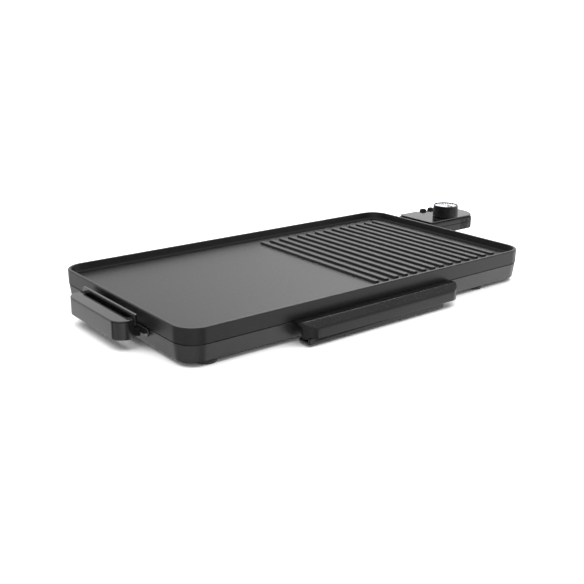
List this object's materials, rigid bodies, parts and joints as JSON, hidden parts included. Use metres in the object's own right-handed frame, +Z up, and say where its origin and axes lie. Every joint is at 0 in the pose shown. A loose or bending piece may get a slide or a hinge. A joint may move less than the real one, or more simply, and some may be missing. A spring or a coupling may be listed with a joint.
{
  "type": "electric griddle",
  "caption": "Low table griddle with a part flat, part ribbed cooking plate, a front drip tray, a bar handle at one end and a plug-in temperature control.",
  "frame": {"origin": "middle of the whole griddle's box, on the table it stands on", "axes": "+X along the long side towards the temperature control, -Y towards the drip tray's pull, +Z up"},
  "size_m": [0.6262, 0.2904, 0.0566],
  "materials": {
    "nonstick_plate": "dark grey non-stick coating on cast aluminium, low sheen",
    "black_satin_plastic": "moulded heat-resistant plastic, satin black",
    "black_gloss_plastic": "polished black plastic",
    "black_rubber": "matte black rubber",
    "bright_steel": "plain steel",
    "element_sheath": "dark oxidised steel tube",
    "sheet_aluminium": "bare pressed sheet",
    "contact_brass": "bright brass",
    "white_ceramic": "unglazed ceramic",
    "brown_phenolic": "moulded phenolic resin",
    "satin_silver": "spun disc with a satin sheen",
    "red_lamp": "clear red plastic"
  },
  "bodies": {
    "cooker": {"griddle_plate": "nonstick_plate", "base_frame": "black_satin_plastic", "handle_flange": "black_gloss_plastic", "handle_grip": "black_gloss_plastic", "handle_top_cover": "black_gloss_plastic", "handle_shield": "black_gloss_plastic", "foot_front_left": "black_rubber", "foot_front_right": "black_rubber", "foot_rear_left": "black_rubber", "foot_rear_right": "black_rubber", "terminal_pin_live": "bright_steel", "terminal_pin_neutral": "bright_steel", "probe_sleeve": "bright_steel", "tray_rail_left": "bright_steel", "tray_rail_right": "bright_steel", "plate_screw_front_left": "bright_steel", "plate_screw_front_right": "bright_steel", "plate_screw_rear_left": "bright_steel", "plate_screw_rear_right": "bright_steel", "handle_screw_front": "bright_steel", "handle_screw_rear": "bright_steel", "heating_element": "element_sheath", "heat_reflector": "sheet_aluminium", "terminal_insulator": "white_ceramic", "socket_collar": "brown_phenolic"},
    "tray": {"drip_tray": "sheet_aluminium", "tray_front_plate": "black_satin_plastic", "tray_handle": "black_satin_plastic", "tray_screw_left": "bright_steel", "tray_screw_right": "bright_steel"},
    "control": {"control_lower_housing": "black_satin_plastic", "control_upper_housing": "black_satin_plastic", "control_top_panel": "black_gloss_plastic", "control_nose": "brown_phenolic", "contact_live": "contact_brass", "contact_neutral": "contact_brass", "probe_rod": "bright_steel", "thermostat_block": "brown_phenolic", "pilot_lamp": "red_lamp", "pilot_lens": "red_lamp", "cord_inlet": "black_rubber", "housing_screw_front": "bright_steel", "housing_screw_rear": "bright_steel", "housing_screw_outer": "bright_steel", "lever_pin": "bright_steel", "lever_spring": "bright_steel"},
    "knob": {"knob_shaft": "bright_steel", "control_knob": "black_satin_plastic", "knob_cap": "satin_silver", "knob_pointer": "black_gloss_plastic"},
    "lever": {"release_lever": "black_satin_plastic"}
  },
  "joints": [
    {"name": "tray_slide", "type": "slide", "parent": "cooker", "child": "tray", "axis": [0, -1, 0], "range_m": [0, 0.17]},
    {"name": "control_unplug", "type": "slide", "parent": "cooker", "child": "control", "axis": [1, 0, 0], "range_m": [0, 0.09]},
    {"name": "knob_turn", "type": "hinge", "parent": "control", "child": "knob", "pos_m": [0.25965, 0.0578, 0.048], "axis": [0, 0, -1], "range_deg": [0, 300]},
    {"name": "lever_press", "type": "hinge", "parent": "control", "child": "lever", "pos_m": [0.26715, 0.0946, 0.0336], "axis": [-1, 0, 0], "range_deg": [0, 7], "stiffness_Nm_per_rad": 0.2, "springref_deg": -4.58}
  ]
}
